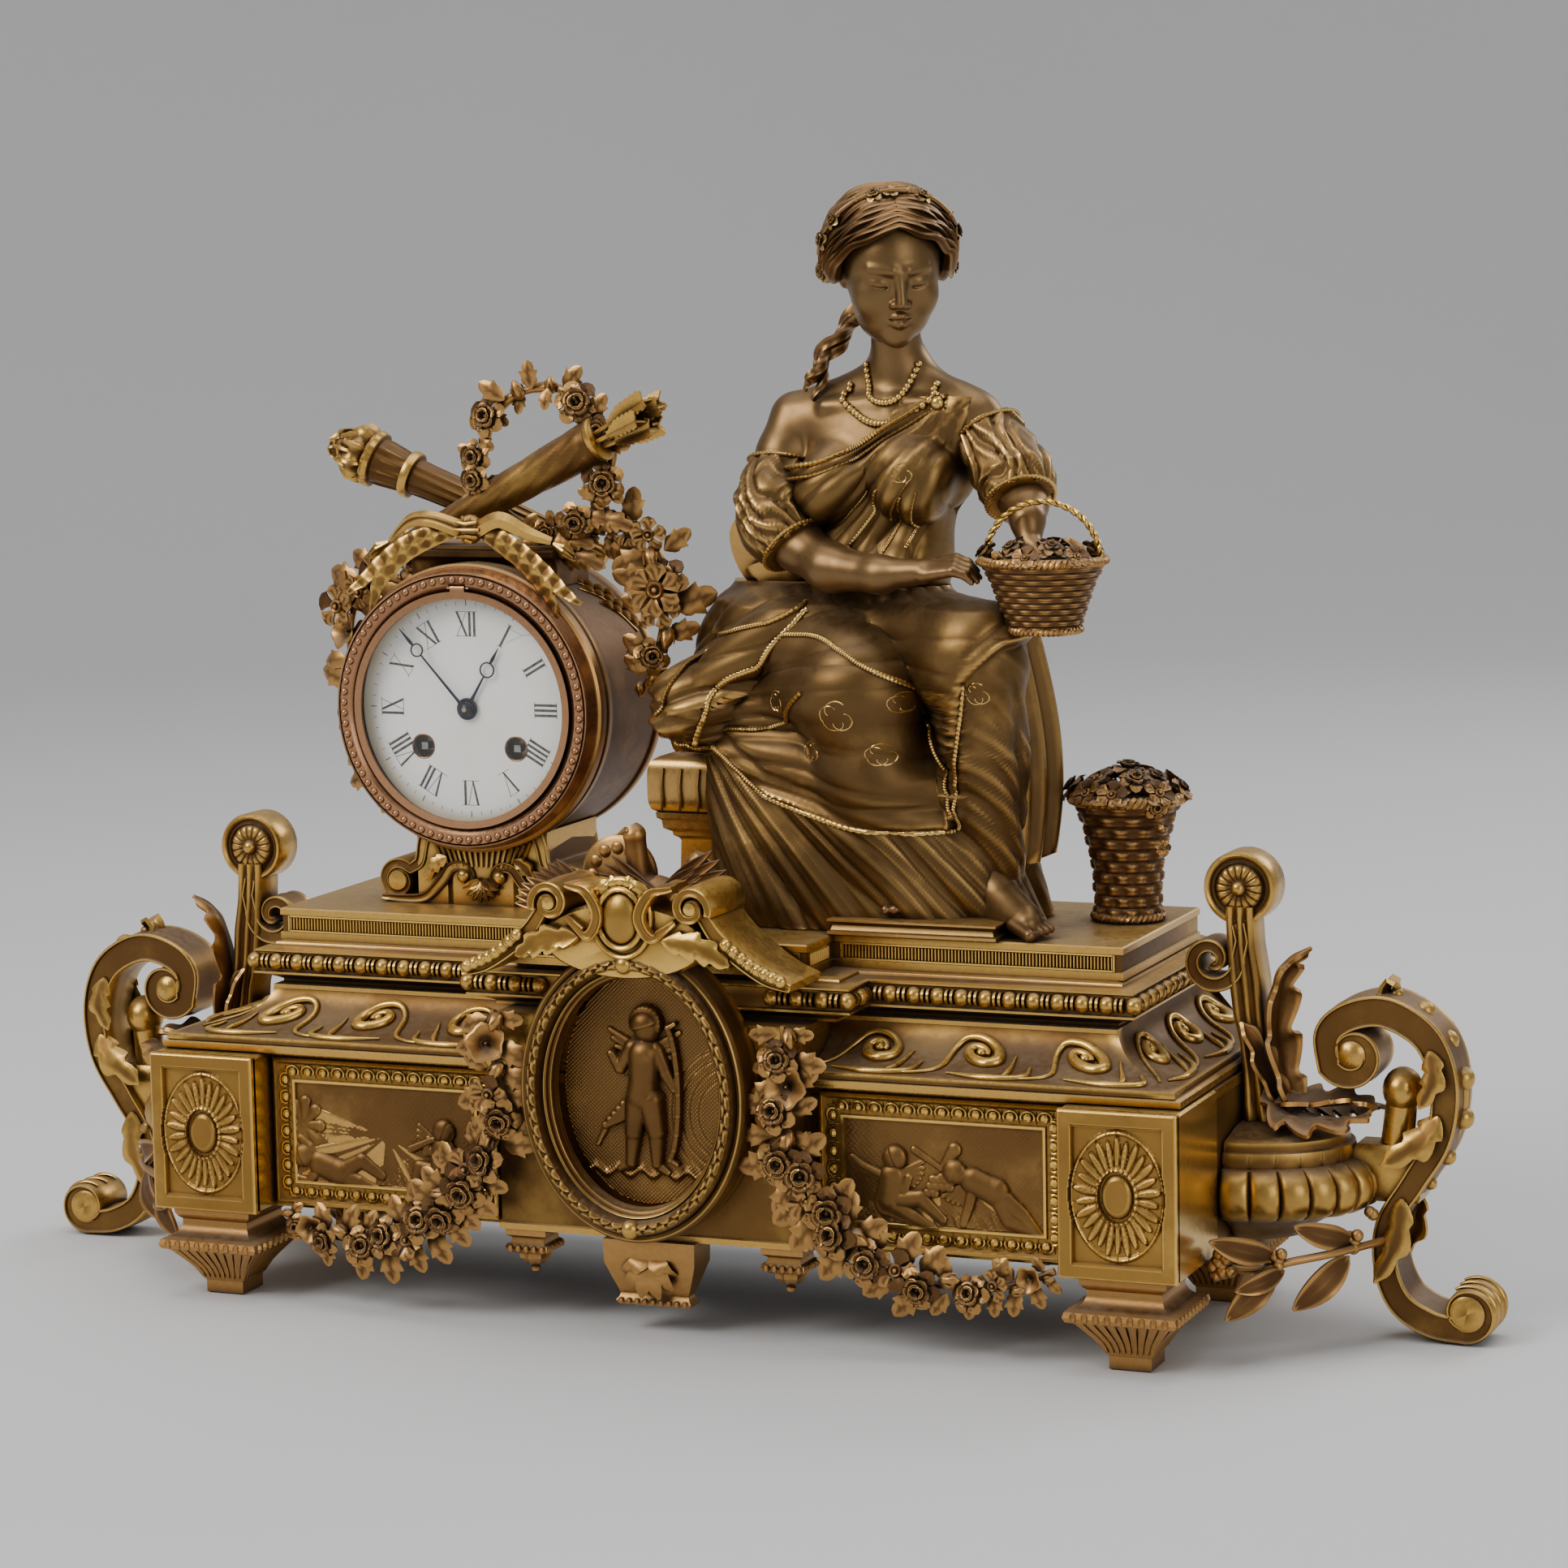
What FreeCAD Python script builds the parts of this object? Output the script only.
"""Figural mantel clock: a gilt cast case with a seated figure and a drum clock on a moulded base.

The frame has +Z up, +X to the right as the dial is read and -Y towards the reader. The origin is on the
shelf under the middle of the clock. Lengths are millimetres and angles degrees.
"""
import FreeCAD, Part
import math
import os

import Sketcher
from FreeCAD import Placement, Rotation, Vector

PARTS = "parts"

# Driving dimensions: name, value, meaning. A place "before" the middle lies on the reader's side of y = 0.
SIZES = [
    ("foot_height", 34.5, "shelf to the underside of the chest"),
    ("foot_sole", 15.5, "side of a foot's square sole"),
    ("foot_flange", 42.0, "side of a foot's square flange"),
    ("chest_width", 396.0, "over the end blocks"),
    ("chest_height", 58.5, "underside of the chest to its cap plate"),
    ("cap_height", 4.0, "cap plate of the chest"),
    ("cove_height", 17.0, "cap plate to the cornice"),
    ("cornice_height", 16.0, "height of the beaded cornice"),
    ("platform_height", 11.7, "slab that carries the drum and the figure"),
    ("back_depth", 80.0, "flat back of the base, behind the middle"),
    ("block_front", 66.0, "front of the end blocks, before the middle"),
    ("block_width", 42.5, "width of an end block"),
    ("block_depth", 48.0, "depth of an end block"),
    ("panel_recess", 17.0, "relief panels behind the block fronts"),
    ("bay_half", 60.0, "half the width of the chest's middle bay"),
    ("bay_recess", 9.0, "middle bay behind the block fronts"),
    ("cove_run_front", 32.0, "how far the cove draws in at the front"),
    ("cove_run_side", 27.0, "how far the cove draws in at each side"),
    ("cornice_lip", 8.0, "cornice beyond the top of the cove"),
    ("platform_half", 165.6, "half the length of the top slab"),
    ("platform_front", 21.0, "front of the slab, before the middle"),
    ("platform_back", 70.6, "back of the slab, behind the middle"),
    ("platform_bay", 57.5, "half the width of the slab's middle bay"),
    ("platform_bay_front", 46.0, "front of the slab's middle bay, before the middle"),
    ("cast_wall", 4.0, "wall of the hollow castings"),
    ("fit_gap", 0.3, "clearance between pieces that seat beside each other"),
    ("screw_r", 1.6, "radius of a case screw's shank"),
    ("medallion_wide", 86.8, "outside width of the oval frame"),
    ("medallion_high", 106.6, "outside height of the oval frame"),
    ("medallion_rim", 12.0, "width of the oval frame's moulding"),
    ("medallion_deep", 21.0, "depth of the oval frame"),
    ("medallion_lift", 1.7, "chest's underside to the bottom of the oval frame"),
    ("plaque_thick", 8.0, "thickness of the oval plaque, relief included"),
    ("crest_height", 32.0, "top of the crest above the cornice"),
    ("bowl_reach", 49.0, "half bowl beyond the chest's side"),
    ("bowl_half", 40.0, "half the bowl's length along the chest's side"),
    ("bowl_top", 76.0, "top of the half bowl above the shelf"),
    ("scroll_front", 14.0, "front face of the scroll legs, behind the middle"),
    ("scroll_deep", 22.0, "depth of the scroll legs"),
    ("foot_volute", 11.4, "radius of the volute on the shelf"),
    ("top_volute", 12.5, "radius of the leg's top volute"),
    ("scroll_band", 10.0, "width of the leg's band"),
    ("post_disc", 13.2, "radius of the post's rosette disc"),
    ("post_height", 158.5, "post's disc above the shelf"),
    ("post_deep", 18.0, "depth of the posts"),
    ("drum_offset", 93.0, "drum axis left of the middle"),
    ("drum_lift", 75.0, "drum axis above the platform"),
    ("drum_radius", 54.0, "outside of the drum"),
    ("drum_wall", 5.0, "wall of the drum"),
    ("drum_front", 4.0, "front edge of the drum, before the middle"),
    ("drum_length", 58.0, "drum from front edge to back edge"),
    ("bezel_outer", 50.8, "outside radius of the beaded bezel"),
    ("bezel_inner", 44.3, "inside radius of the beaded bezel"),
    ("bezel_deep", 6.5, "depth of the beaded bezel"),
    ("sight_radius", 41.3, "opening of the glazed ring"),
    ("glass_thick", 1.0, "thickness of the glass"),
    ("dial_radius", 43.6, "enamel dial"),
    ("dial_thick", 1.5, "enamel dial"),
    ("dial_gap", 6.1, "back of the dial to the front plate"),
    ("winding_hole", 4.3, "radius of a winding hole"),
    ("winding_across", 19.1, "winding arbor beside the drum axis"),
    ("winding_down", 14.5, "winding arbor below the drum axis"),
    ("winding_square", 2.6, "side of the winding square"),
    ("minute_length", 39.6, "minute hand, axis to tip"),
    ("hour_length", 26.6, "hour hand, axis to tip"),
    ("hand_thick", 0.5, "thickness of a hand"),
    ("plate_front", 4.0, "front face of the front plate, behind the middle"),
    ("plate_thick", 1.8, "thickness of the movement plates"),
    ("plate_space", 24.2, "between the plates"),
    ("back_plate_r", 40.0, "radius of the back plate"),
    ("pillar_r", 2.2, "radius of a pillar"),
    ("pillar_ring", 36.5, "radius that the pillars stand on"),
    ("arbor_r", 0.9, "radius of the train arbors"),
    ("pivot_r", 0.6, "radius of the fine arbors"),
    ("run_gap", 0.05, "radial clearance of a shaft in its hole"),
    ("barrel_r", 15.5, "radius of a spring barrel"),
    ("barrel_long", 11.0, "length of a spring barrel"),
    ("barrel_arbor_r", 2.0, "radius of a barrel arbor"),
    ("pendulum_long", 136.0, "suspension to the middle of the bob"),
    ("bob_r", 12.5, "radius of the bob"),
    ("rod_r", 1.0, "radius of the pendulum rod"),
    ("slot_half", 11.0, "half the width of the slot for the rod"),
    ("bell_r", 24.0, "radius of the bell"),
    ("cover_thick", 1.6, "thickness of the back cover"),
    ("stool_height", 58.0, "stool above the platform"),
    ("figure_height", 268.3, "figure above the platform"),
    ("basket_height", 46.0, "standing basket, platform to rim"),
]


class Dim:
    """A length with its value now and the spreadsheet expression that gives it."""

    def __init__(self, value, text):
        self.value = value
        self.text = text

    def __float__(self):
        return self.value

    def __neg__(self):
        return Dim(-self.value, f"(0 - {self.text})")

    def __add__(self, other):
        return joined(self, "+", other, self.value + float(other))

    def __radd__(self, other):
        return joined(other, "+", self, float(other) + self.value)

    def __sub__(self, other):
        return joined(self, "-", other, self.value - float(other))

    def __rsub__(self, other):
        return joined(other, "-", self, float(other) - self.value)

    def __mul__(self, other):
        return joined(self, "*", other, self.value * float(other))

    def __rmul__(self, other):
        return joined(other, "*", self, float(other) * self.value)

    def __truediv__(self, other):
        return joined(self, "/", other, self.value / float(other))


def text_of(value):
    """A length's expression, or a plain number in brackets."""
    return value.text if isinstance(value, Dim) else f"({float(value)!r})"


def joined(left, sign, right, value):
    """The expression that joins two lengths by a sign."""
    return Dim(value, f"({text_of(left)} {sign} {text_of(right)})")


class Measures:
    """The driving dimensions by name."""


doc = FreeCAD.newDocument("MantelClock")
sheet = doc.addObject("Spreadsheet::Sheet", "Sizes")
m = Measures()
for row, (alias, number, meaning) in enumerate(SIZES, start=1):
    sheet.set(f"A{row}", alias)
    sheet.set(f"B{row}", str(number))
    sheet.set(f"C{row}", meaning)
    sheet.setAlias(f"B{row}", alias)
doc.recompute()
for alias, _, _ in SIZES:
    setattr(m, alias, Dim(float(sheet.get(alias)), f"Sizes.{alias}"))


def bind(obj, **lengths):
    """Sets an object's lengths, each bound to its expression if it has one."""
    for name, value in lengths.items():
        setattr(obj, name, float(value))
        if isinstance(value, Dim):
            obj.setExpression(name, value.text)
    return obj


def place(obj, x=0, y=0, z=0):
    """Sets an object's position and keeps its turn."""
    obj.Placement = Placement(Vector(float(x), float(y), float(z)), obj.Placement.Rotation)
    for axis, value in zip("xyz", (x, y, z)):
        if isinstance(value, Dim):
            obj.setExpression(f".Placement.Base.{axis}", value.text)
    return obj


def turn_to_y(obj):
    """Turns an object that was made along +Z to lie along +Y."""
    obj.Placement = Placement(Vector(), Rotation(Vector(1, 0, 0), -90))
    return obj


def box(name, x0, x1, y0, y1, z0, z1):
    """A block between two corners."""
    made = doc.addObject("Part::Box", name)
    bind(made, Length=x1 - x0, Width=y1 - y0, Height=z1 - z0)
    return place(made, x0, y0, z0)


def wide_box(name, half, y0, y1, z0, z1, x=0):
    """A block that is half wide on both sides of x."""
    return box(name, x - half, x + half, y0, y1, z0, z1)


def frustum(name, low, high, z0, z1):
    """A block between two rectangles (x0, x1, y0, y1): low at z0 and high at z1."""
    made = doc.addObject("Part::Wedge", name)
    made.Placement = Placement(Vector(), Rotation(Vector(1, 0, 0), 90))
    return bind(made, Xmin=low[0], Xmax=low[1], Zmin=-1 * low[3], Zmax=-1 * low[2], X2min=high[0],
                X2max=high[1], Z2min=-1 * high[3], Z2max=-1 * high[2], Ymin=z0, Ymax=z1)


def rod(name, radius, x, y0, y1, z):
    """A cylinder along Y."""
    made = turn_to_y(doc.addObject("Part::Cylinder", name))
    bind(made, Radius=radius, Height=y1 - y0)
    return place(made, x, y0, z)


def stud(name, radius, x, y, z0, z1):
    """A cylinder along Z."""
    made = doc.addObject("Part::Cylinder", name)
    bind(made, Radius=radius, Height=z1 - z0)
    return place(made, x, y, z0)


def crossbar(name, radius, x0, x1, y, z):
    """A cylinder along X."""
    made = doc.addObject("Part::Cylinder", name)
    made.Placement = Placement(Vector(), Rotation(Vector(0, 1, 0), 90))
    bind(made, Radius=radius, Height=x1 - x0)
    return place(made, x0, y, z)


def oval(name, x, z, half_wide, half_high, y0, y1):
    """An upright oval plate, taller than wide, with its faces at y0 and y1."""
    edge = doc.addObject("Part::Ellipse", name + "_edge")
    edge.Placement = Placement(Vector(), Rotation(Vector(1, 1, 1), -120))
    bind(edge, MajorRadius=half_high, MinorRadius=half_wide)
    place(edge, x, y0, z)
    made = doc.addObject("Part::Extrusion", name)
    made.Base, made.Dir, made.DirMode, made.Solid = edge, Vector(0, 1, 0), "Custom", True
    return bind(made, LengthFwd=y1 - y0)


def fuse(name, *shapes):
    """One object from several; solids that don't touch stay separate solids."""
    made = doc.addObject("Part::MultiFuse", name)
    made.Shapes = list(shapes)
    made.Refine = True
    return made


def cut(name, base, *tools):
    """base with every tool taken away."""
    made = doc.addObject("Part::Cut", name)
    made.Base = base
    made.Tool = tools[0] if len(tools) == 1 else fuse(name + "_tools", *tools)
    return made


def mirrored(name, source):
    """The same shape on the other side of the middle plane."""
    made = doc.addObject("Part::Mirroring", name)
    made.Source, made.Base, made.Normal = source, (0, 0, 0), (1, 0, 0)
    return made


def outline(body, points):
    """A closed outline in the body's XZ plane, every corner bound to its lengths."""
    sketch = body.newObject("Sketcher::SketchObject", body.Name + "_outline")
    plane = [feature for feature in body.Origin.OriginFeatures if feature.Role == "XZ_Plane"][0]
    sketch.AttachmentSupport, sketch.MapMode = [(plane, "")], "FlatFace"
    corners = [Vector(float(x), float(z), 0) for x, z in points]
    count = len(points)
    for i in range(count):
        sketch.addGeometry(Part.LineSegment(corners[i], corners[(i + 1) % count]), False)
    for i in range(count):
        sketch.addConstraint(Sketcher.Constraint("Coincident", i, 2, (i + 1) % count, 1))
    for i, corner in enumerate(points):
        for kind, value in zip(("DistanceX", "DistanceY"), corner):
            index = sketch.addConstraint(Sketcher.Constraint(kind, -1, 1, i, 1, float(value)))
            if isinstance(value, Dim):
                sketch.setExpression(f"Constraints[{index}]", value.text)
    return sketch


def padded(name, points, y0, y1):
    """An upright plate: an outline of (x, z) corners between the planes y0 and y1."""
    body = doc.addObject("PartDesign::Body", name)
    pad = body.newObject("PartDesign::Pad", name + "_pad")
    pad.Profile = outline(body, points)
    bind(pad, Length=y1 - y0)
    return place(body, 0, y1, 0)


def turned(name, points, x, y, z, along_y=False):
    """A turned piece: a half section of (radius, height) corners spun about +Z, or about +Y."""
    body = doc.addObject("PartDesign::Body", name)
    spin = body.newObject("PartDesign::Revolution", name + "_spin")
    sketch = outline(body, points)
    spin.Profile, spin.ReferenceAxis, spin.Angle = sketch, (sketch, ["V_Axis"]), 360
    if along_y:
        turn_to_y(body)
    return place(body, x, y, z)


def made_shape(name, shape):
    """A shape worked out in code, for forms that no primitive or feature gives."""
    made = doc.addObject("Part::Feature", name)
    made.Shape = shape
    return made


def skin(rings):
    """A closed solid of flat triangles through rings of equally many points."""
    faces = []

    def triangle(a, b, c):
        faces.append(Part.Face(Part.makePolygon([a, b, c, a])))

    count = len(rings[0])
    for low, high in zip(rings, rings[1:]):
        for i in range(count):
            j = (i + 1) % count
            triangle(low[i], low[j], high[j])
            triangle(low[i], high[j], high[i])
    for ring, step in ((rings[0], -1), (rings[-1], 1)):
        middle = sum(ring, Vector()) * (1.0 / count)
        for i in range(count):
            triangle(middle, ring[i], ring[(i + step) % count])
    solid = Part.Solid(Part.Shell(faces))
    if solid.Volume < 0:
        solid.reverse()
    return solid


def ellipse_ring(x, y, z, across, deep, sides=16, start=0.0, sweep=2 * math.pi):
    """Points of a level ellipse, or of a part of one."""
    steps = sides if abs(sweep - 2 * math.pi) < 1e-9 else sides - 1
    return [Vector(x + across * math.cos(start + sweep * i / steps),
                   y + deep * math.sin(start + sweep * i / steps), z) for i in range(sides)]


def stack(levels, sides=16):
    """A solid through level ellipses (z, x0, x1, y0, y1), lowest first."""
    return skin([ellipse_ring((x0 + x1) / 2, (y0 + y1) / 2, z, (x1 - x0) / 2, (y1 - y0) / 2, sides)
                 for z, x0, x1, y0, y1 in levels])


def egg(name, x, y, z, across, deep, high):
    """A faceted ellipsoid with its three half lengths."""
    x, y, z = float(x), float(y), float(z)
    rings = []
    for step in range(-4, 5):
        tilt = math.radians(step * 20)
        share = math.cos(tilt)
        rings.append(ellipse_ring(x, y, z + high * math.sin(tilt) / math.sin(math.radians(80)),
                                  across * share, deep * share))
    return made_shape(name, skin(rings))


def strand(path, sides=10):
    """A solid of round sections (x, y, z, radius) along a path."""
    points = [Vector(*station[:3]) for station in path]
    rings = []
    side = None
    for i, station in enumerate(path):
        ahead = points[min(i + 1, len(points) - 1)] - points[max(i - 1, 0)]
        ahead.normalize()
        side = (side or (Vector(0, 1, 0) if abs(ahead.y) < 0.8 else Vector(0, 0, 1)))
        side = side - ahead * side.dot(ahead)
        side.normalize()
        other = ahead.cross(side)
        rings.append([points[i] + side * (station[3] * math.cos(2 * math.pi * k / sides))
                      + other * (station[3] * math.sin(2 * math.pi * k / sides)) for k in range(sides)])
    return skin(rings)


def ribbon_band(middle, half_wide, y0, y1):
    """A plate that follows a line of (x, z) points at the same width all along."""
    left, right = [], []
    for i, (x, z) in enumerate(middle):
        before = middle[max(i - 1, 0)]
        after = middle[min(i + 1, len(middle) - 1)]
        length = math.hypot(after[0] - before[0], after[1] - before[1])
        across = ((before[1] - after[1]) / length, (after[0] - before[0]) / length)
        left.append(Vector(x + across[0] * half_wide, y0, z + across[1] * half_wide))
        right.append(Vector(x - across[0] * half_wide, y0, z - across[1] * half_wide))
    corners = left + right[::-1]
    return Part.Face(Part.makePolygon(corners + corners[:1])).extrude(Vector(0, y1 - y0, 0))


NODES = {}


def node(name, obj):
    """Names an object as a sub-part to export."""
    obj.Label = name
    NODES[name] = obj
    return obj


# ---------------------------------------------------------------------------------------- shared places
chest_bottom = m.foot_height
chest_top = chest_bottom + m.chest_height
cap_top = chest_top + m.cap_height
cove_top = cap_top + m.cove_height
cornice_top = cove_top + m.cornice_height
deck = cornice_top + m.platform_height
half_chest = m.chest_width / 2
block_inner = half_chest - m.block_width
block_back = m.block_depth - m.block_front
panel_face = m.panel_recess - m.block_front
bay_face = m.bay_recess - m.block_front
drum_x = -m.drum_offset
drum_z = deck + m.drum_lift
drum_back = m.drum_length - m.drum_front
inner_front = m.plate_front + m.plate_thick
inner_back = inner_front + m.plate_space
plates_back = inner_back + m.plate_thick
medallion_z = chest_bottom + m.medallion_lift + m.medallion_high / 2
frame_front = bay_face - m.medallion_deep


def at(x, z):
    """A place given from the drum's axis."""
    return drum_x + x, drum_z + z


# ---------------------------------------------------------------------------------------------- the base
def make_chest():
    """Hollow lower casting with screw bosses, pads for the rear feet and a window over the bob."""
    wall = m.cast_wall
    boss_x, boss_y = 140, (-36, 66)
    body = fuse("chest_body",
                wide_box("chest_main", half_chest, block_back, m.back_depth, chest_bottom, chest_top),
                wide_box("chest_mid", block_inner, panel_face, block_back, chest_bottom, chest_top),
                wide_box("chest_bay", m.bay_half, bay_face, panel_face, chest_bottom, chest_top),
                wide_box("chest_cap", half_chest - 1, bay_face, m.back_depth, chest_top, cap_top))
    hollow = fuse("chest_hollow",
                  wide_box("hollow_main", half_chest - wall, block_back + wall, m.back_depth - wall,
                           chest_bottom, chest_top),
                  wide_box("hollow_mid", block_inner - wall, panel_face + wall, block_back + wall,
                           chest_bottom, chest_top),
                  wide_box("bob_window", 40, 0, 60, chest_top, cap_top, x=drum_x))
    shell = cut("chest_shell", body, hollow)
    pad = box("foot_pad", block_inner, half_chest, m.back_depth - m.foot_flange - 2, m.back_depth,
              chest_bottom, chest_bottom + 6)
    bosses, holes, screws, plate_holes = [pad, mirrored("foot_pad_left", pad)], [], [], []
    for i, (x, y) in enumerate((side * boss_x, y) for side in (-1, 1) for y in boss_y):
        bosses.append(stud(f"boss_{i}", 6, x, y, chest_bottom, chest_top))
        holes.append(stud(f"boss_hole_{i}", m.screw_r + m.run_gap, x, y, chest_bottom, chest_bottom + 14))
        plate_holes.append(stud(f"plate_hole_{i}", m.screw_r + m.fit_gap, x, y, chest_bottom - 9,
                                chest_bottom + 9))
        head = stud(f"screw_head_{i}", 3.6, x, y, chest_bottom - 3.1, chest_bottom - 1.5)
        shank = stud(f"screw_shank_{i}", m.screw_r, x, y, chest_bottom - 3.1, chest_bottom + 12)
        screws.append(fuse(f"screw_{i}", head, shank))
    node("base_chest", cut("base_chest", fuse("chest_with_bosses", shell, *bosses), *holes))
    plate = wide_box("plate_blank", block_inner - 2, panel_face + 10, m.back_depth - 2,
                     chest_bottom - 1.5, chest_bottom)
    node("base_plate", cut("base_plate", plate, *plate_holes))
    node("case_screws", fuse("case_screws", *screws))


def make_cove():
    """Concave section over the cap plate, hollow, with the middle bay carried up."""
    mid_z = cap_top + m.cove_height * 0.45
    low_x, low_y = half_chest - 3, bay_face
    mid_x, mid_y = low_x - m.cove_run_side * 0.7, low_y + m.cove_run_front * 0.65
    high_x, high_y = low_x - m.cove_run_side, low_y + m.cove_run_front
    low = frustum("cove_low", (-low_x, low_x, low_y, m.back_depth), (-mid_x, mid_x, mid_y, m.back_depth),
                  cap_top, mid_z)
    high = frustum("cove_high", (-mid_x, mid_x, mid_y, m.back_depth),
                   (-high_x, high_x, high_y, m.back_depth), mid_z, cove_top)
    bay = wide_box("cove_bay", m.bay_half, bay_face, high_y + 8, cap_top, cove_top)
    hollow = wide_box("cove_hollow", high_x - 3 * m.cast_wall, high_y + 3 * m.cast_wall,
                      m.back_depth - m.cast_wall, cap_top, cove_top)
    node("cove_section", cut("cove_section", fuse("cove_solid", low, high, bay), hollow))
    return high_x, high_y


def make_cornice(cove_x, cove_y):
    """Moulded cornice, a hollow frame with a bay that steps forward."""
    x, y = cove_x + m.cornice_lip, cove_y - m.cornice_lip
    shoulder = cove_top + m.cornice_height * 0.62
    slab = wide_box("cornice_slab", x, y, m.back_depth, cove_top, shoulder)
    slope = frustum("cornice_slope", (-x, x, y, m.back_depth), (8 - x, x - 8, y + 8, m.back_depth),
                    shoulder, cornice_top)
    bay = wide_box("cornice_bay", m.bay_half + 18, bay_face + 4, y + 10, cove_top, cornice_top)
    hollow = wide_box("cornice_hollow", cove_x - 3 * m.cast_wall, cove_y + 3 * m.cast_wall,
                      m.back_depth - 3 * m.cast_wall, cove_top, cornice_top)
    node("cornice", cut("cornice", fuse("cornice_solid", slab, slope, bay), hollow))


def make_platform():
    """Top slab with its middle bay and the slot that the pendulum rod swings in."""
    slab = fuse("platform_slab",
                wide_box("platform_main", m.platform_half, -m.platform_front, m.platform_back,
                         cornice_top, deck),
                wide_box("platform_step", m.platform_bay, -m.platform_bay_front, 8 - m.platform_front,
                         cornice_top, deck))
    slot = wide_box("platform_slot", m.slot_half, plates_back + 0.6, plates_back + 6.6, cornice_top, deck,
                    x=drum_x)
    node("platform", cut("platform", slab, slot))


def make_end_blocks():
    """Blocks that close the ends of the chest's front, and the thin relief plates between them and the bay."""
    block = box("block_right", block_inner, half_chest, -m.block_front, block_back, chest_bottom, chest_top)
    node("end_blocks", fuse("end_blocks", block, mirrored("block_left", block)))
    panel = box("panel_right", m.bay_half + 6, block_inner - 5, panel_face - 2.5, panel_face,
                chest_bottom + 4, chest_top - 7)
    node("relief_panels", fuse("relief_panels", panel, mirrored("panel_left", panel)))


def make_feet():
    """Four square tapered feet, set in from the corners."""
    top = chest_bottom
    half_sole, half_flange = m.foot_sole / 2, m.foot_flange / 2
    levels = [(0, half_sole), (top * 0.16, half_sole + 0.8), (top * 0.49, half_flange * 0.68),
              (top * 0.58, half_flange), (top * 0.67, half_flange), (top * 0.78, half_flange * 0.72),
              (top, half_flange * 0.72)]
    foot_x = half_chest - half_flange
    fronts = {"front": half_flange - m.block_front, "rear": m.back_depth - half_flange - 2}
    feet = []
    for which, y in fronts.items():
        tiers = []
        for i, ((z0, h0), (z1, h1)) in enumerate(zip(levels, levels[1:])):
            tiers.append(frustum(f"foot_{which}_{i}", (foot_x - h0, foot_x + h0, y - h0, y + h0),
                                 (foot_x - h1, foot_x + h1, y - h1, y + h1), z0, z1))
        foot = fuse(f"foot_{which}", *tiers)
        feet += [foot, mirrored(f"foot_{which}_left", foot)]
    node("feet", fuse("feet", *feet))


def make_under_drops():
    """Turned drops under the bay's corners and the tapered bracket under the medallion."""
    section = [(0, -17.5), (3, -16.5), (6.4, -12), (5, -9), (8, -6), (8, 0), (0, 0)]
    drop = turned("drop_right", section, 50, bay_face + 8.5, chest_bottom)
    bracket = frustum("bracket", (-12, 12, bay_face - 3, bay_face + 7),
                      (-22.5, 22.5, bay_face - 3, bay_face + 15), chest_bottom - 25, chest_bottom)
    node("under_drops", fuse("under_drops", drop, mirrored("drop_left", drop), bracket))


def make_medallion():
    """Oval frame before the bay, with the oval plaque inside it."""
    wide, high = m.medallion_wide / 2, m.medallion_high / 2
    inner_wide, inner_high = wide - m.medallion_rim, high - m.medallion_rim
    ring = cut("medallion_frame",
               oval("frame_outer", 0, medallion_z, wide, high, frame_front, bay_face),
               oval("frame_inner", 0, medallion_z, inner_wide, inner_high, frame_front - 1, bay_face + 1))
    node("medallion_frame", ring)
    node("medallion_plaque", oval("medallion_plaque", 0, medallion_z, inner_wide - m.fit_gap / 3,
                                  inner_high - m.fit_gap / 3, bay_face - m.plaque_thick, bay_face))


def make_crest():
    """Arched crest on the cornice bay: a roof over the medallion, two scrolls and a cabochon."""
    low, eaves, top = cornice_top, cornice_top + 20, cornice_top + m.crest_height
    front, back = frame_front + 4, -m.platform_bay_front
    roof = padded("crest_roof", [(-62, low), (62, low), (33, eaves), (27, top), (-27, top), (-33, eaves)],
                  front, back)
    scroll = rod("crest_scroll", 8, 27, frame_front, back, top - 3.5)
    stone = egg("crest_stone", 0, frame_front + 4, top - 8, 8, 6, 11)
    clearance = oval("crest_clearance", 0, medallion_z, m.medallion_wide / 2 + m.fit_gap,
                     m.medallion_high / 2 + m.fit_gap, frame_front - 9, back + 9)
    solid = fuse("crest_solid", roof, scroll, mirrored("crest_scroll_left", scroll), stone)
    return node("crest_cartouche", cut("crest_cartouche", solid, clearance))


def make_doves(crest):
    """Two doves with spread wings that rest on the slab behind the crest."""
    y = 7 - m.platform_bay_front
    birds = fuse("dove_birds",
                 egg("dove_body_left", -10, y + 4, deck + 14, 15, 9, 15),
                 egg("dove_body_right", 14, y + 4, deck + 14, 16, 9, 15),
                 egg("dove_head", -8, y + 2, deck + 32, 6, 6, 7),
                 egg("dove_wing_left", -38, y + 2, deck + 13, 24, 5, 10),
                 egg("dove_wing_right", 22, y + 6, deck + 27, 14, 6, 10),
                 egg("dove_tail", 34, y + 2, deck + 11, 14, 6, 8))
    below = wide_box("dove_trim", 99, -99, 40, deck - 30, deck)
    node("doves", cut("doves", birds, below, crest))


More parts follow.
